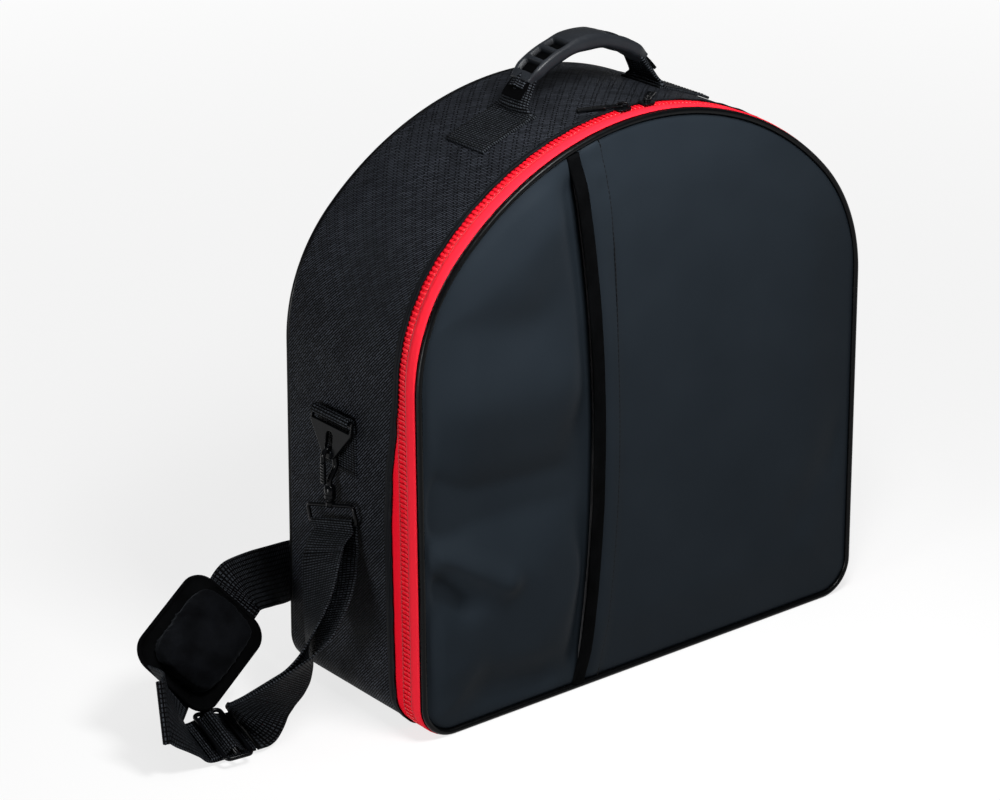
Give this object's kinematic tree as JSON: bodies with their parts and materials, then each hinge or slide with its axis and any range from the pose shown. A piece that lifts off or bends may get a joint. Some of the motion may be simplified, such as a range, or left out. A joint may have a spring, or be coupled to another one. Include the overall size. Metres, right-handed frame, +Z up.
{
  "type": "drum throne bag",
  "caption": "Padded arched carry bag with a zipped front lid, bound front pocket edge, moulded handle and clip-on shoulder strap.",
  "frame": {"origin": "middle of the bag's width on the floor, at the base panel's underside", "axes": "+Z up; -Y towards the zipped front lid; +X to the right as seen from the front"},
  "size_m": [0.6919, 0.2062, 0.51],
  "materials": {
    "nylon": "near-black twill nylon with a dull sheen",
    "leatherette": "dark blue-grey fine-grained leatherette, satin",
    "piping": "black round piping, satin",
    "zip_red": "red woven zip tape and coil, matt",
    "lining": "black lining cloth, matt",
    "foam": "grey padding, hidden between skin and lining",
    "stiffener": "base board, hidden between skin and lining",
    "webbing": "black webbing with a fine grid weave, matt",
    "grip_rubber": "moulded black rubber, satin",
    "black_metal": "black lacquered metal, semi-gloss",
    "velour": "black velour, soft pile"
  },
  "bodies": {
    "bag": {"gusset_shell": "nylon", "gusset_foam": "foam", "gusset_lining": "lining", "base_panel": "nylon", "base_board": "stiffener", "base_lining": "lining", "back_panel": "nylon", "back_foam": "foam", "back_lining": "lining", "back_piping": "piping", "zip_coil_body": "zip_red", "zip_tape_body": "zip_red", "zip_seam_tape": "nylon", "handle_tab_left": "webbing", "handle_tab_right": "webbing", "handle_riser_left": "webbing", "handle_riser_right": "webbing", "side_chape_left": "webbing", "side_chape_right": "webbing", "strap_drop": "webbing", "strap_run": "webbing", "strap_end_right": "webbing"},
    "lid": {"lid_skin": "leatherette", "pocket_front": "leatherette", "pocket_binding": "nylon", "lid_foam": "foam", "lid_lining": "lining", "lid_piping": "piping", "zip_tape_lid": "zip_red", "zip_coil_lid": "zip_red"},
    "handle": {"handle_core": "webbing", "handle_grip": "grip_rubber"},
    "slider_left_body": {"slider_left": "black_metal"},
    "slider_right_body": {"slider_right": "black_metal"},
    "pull_left_body": {"pull_left": "black_metal"},
    "pull_right_body": {"pull_right": "black_metal"},
    "clip_left": {"ring_left": "black_metal", "snap_hook_left": "black_metal"},
    "clip_right": {"ring_right": "black_metal", "snap_hook_right": "black_metal"},
    "gate_left_body": {"gate_left": "black_metal"},
    "gate_right_body": {"gate_right": "black_metal"},
    "swivel_left": {"strap_loop_left": "black_metal"},
    "swivel_right": {"strap_loop_right": "black_metal"},
    "adjuster": {"strap_adjuster": "black_metal", "adjuster_wrap": "webbing"},
    "pad": {"pad_base": "nylon", "pad_cushion": "velour", "pad_sleeve": "nylon"}
  },
  "joints": [
    {"name": "lid_hinge", "type": "hinge", "parent": "bag", "child": "lid", "pos_m": [0, -0.0923, 0.0003], "axis": [1, 0, 0], "range_deg": [0, 90]},
    {"name": "handle_lean", "type": "hinge", "parent": "bag", "child": "handle", "pos_m": [0, -0.006, 0.45761], "axis": [1, 0, 0], "range_deg": [-40, 40], "deforming": ["handle_riser_left", "handle_riser_right"]},
    {"name": "slider_left_run", "type": "hinge", "parent": "bag", "child": "slider_left_body", "pos_m": [0, -0.0718, 0.2069], "axis": [0, 1, 0], "range_deg": [-40, 0]},
    {"name": "pull_left_lift", "type": "hinge", "parent": "slider_left_body", "child": "pull_left_body", "pos_m": [-0.01222, -0.0718, 0.46741], "axis": [0.6785, 0.7339, 0.0318], "range_deg": [0, 120]},
    {"name": "slider_right_run", "type": "hinge", "parent": "bag", "child": "slider_right_body", "pos_m": [0, -0.0718, 0.2069], "axis": [0, 1, 0], "range_deg": [0, 40]},
    {"name": "pull_right_lift", "type": "hinge", "parent": "slider_right_body", "child": "pull_right_body", "pos_m": [0.01222, -0.0718, 0.46741], "axis": [0.6785, -0.7339, -0.0318], "range_deg": [0, 120]},
    {"name": "clip_left_swing", "type": "hinge", "parent": "bag", "child": "clip_left", "pos_m": [-0.2315, 0.0095, 0.243], "axis": [0, 1, 0], "range_deg": [0, 30], "deforming": ["strap_drop"]},
    {"name": "gate_left_press", "type": "hinge", "parent": "clip_left", "child": "gate_left_body", "pos_m": [-0.24152, 0.0095, 0.19006], "axis": [0, -1, 0], "range_deg": [0, 20], "stiffness_Nm_per_rad": 0.01, "springref_deg": -11.46},
    {"name": "loop_left_swivel", "type": "hinge", "parent": "clip_left", "child": "swivel_left", "pos_m": [-0.23592, 0.0095, 0.17026], "axis": [0, 0, 1], "range_deg": [-20, 5], "deforming": ["strap_drop"]},
    {"name": "clip_right_swing", "type": "hinge", "parent": "bag", "child": "clip_right", "pos_m": [0.2315, 0.0095, 0.243], "axis": [0, -1, 0], "range_deg": [0, 30], "deforming": ["strap_end_right"]},
    {"name": "gate_right_press", "type": "hinge", "parent": "clip_right", "child": "gate_right_body", "pos_m": [0.24152, 0.0095, 0.19006], "axis": [0, 1, 0], "range_deg": [0, 20], "stiffness_Nm_per_rad": 0.01, "springref_deg": -11.46},
    {"name": "loop_right_swivel", "type": "hinge", "parent": "clip_right", "child": "swivel_right", "pos_m": [0.23592, 0.0095, 0.17026], "axis": [0, 0, 1], "range_deg": [-5, 20], "deforming": ["strap_end_right"]},
    {"name": "adjuster_slide", "type": "slide", "parent": "bag", "child": "adjuster", "axis": [0.9924, -0.1233, 0], "range_m": [0, 0.012], "deforming": ["strap_drop"]},
    {"name": "pad_slide", "type": "slide", "parent": "bag", "child": "pad", "axis": [0.8651, 0.3182, 0.3878], "range_m": [0, 0.012]}
  ]
}
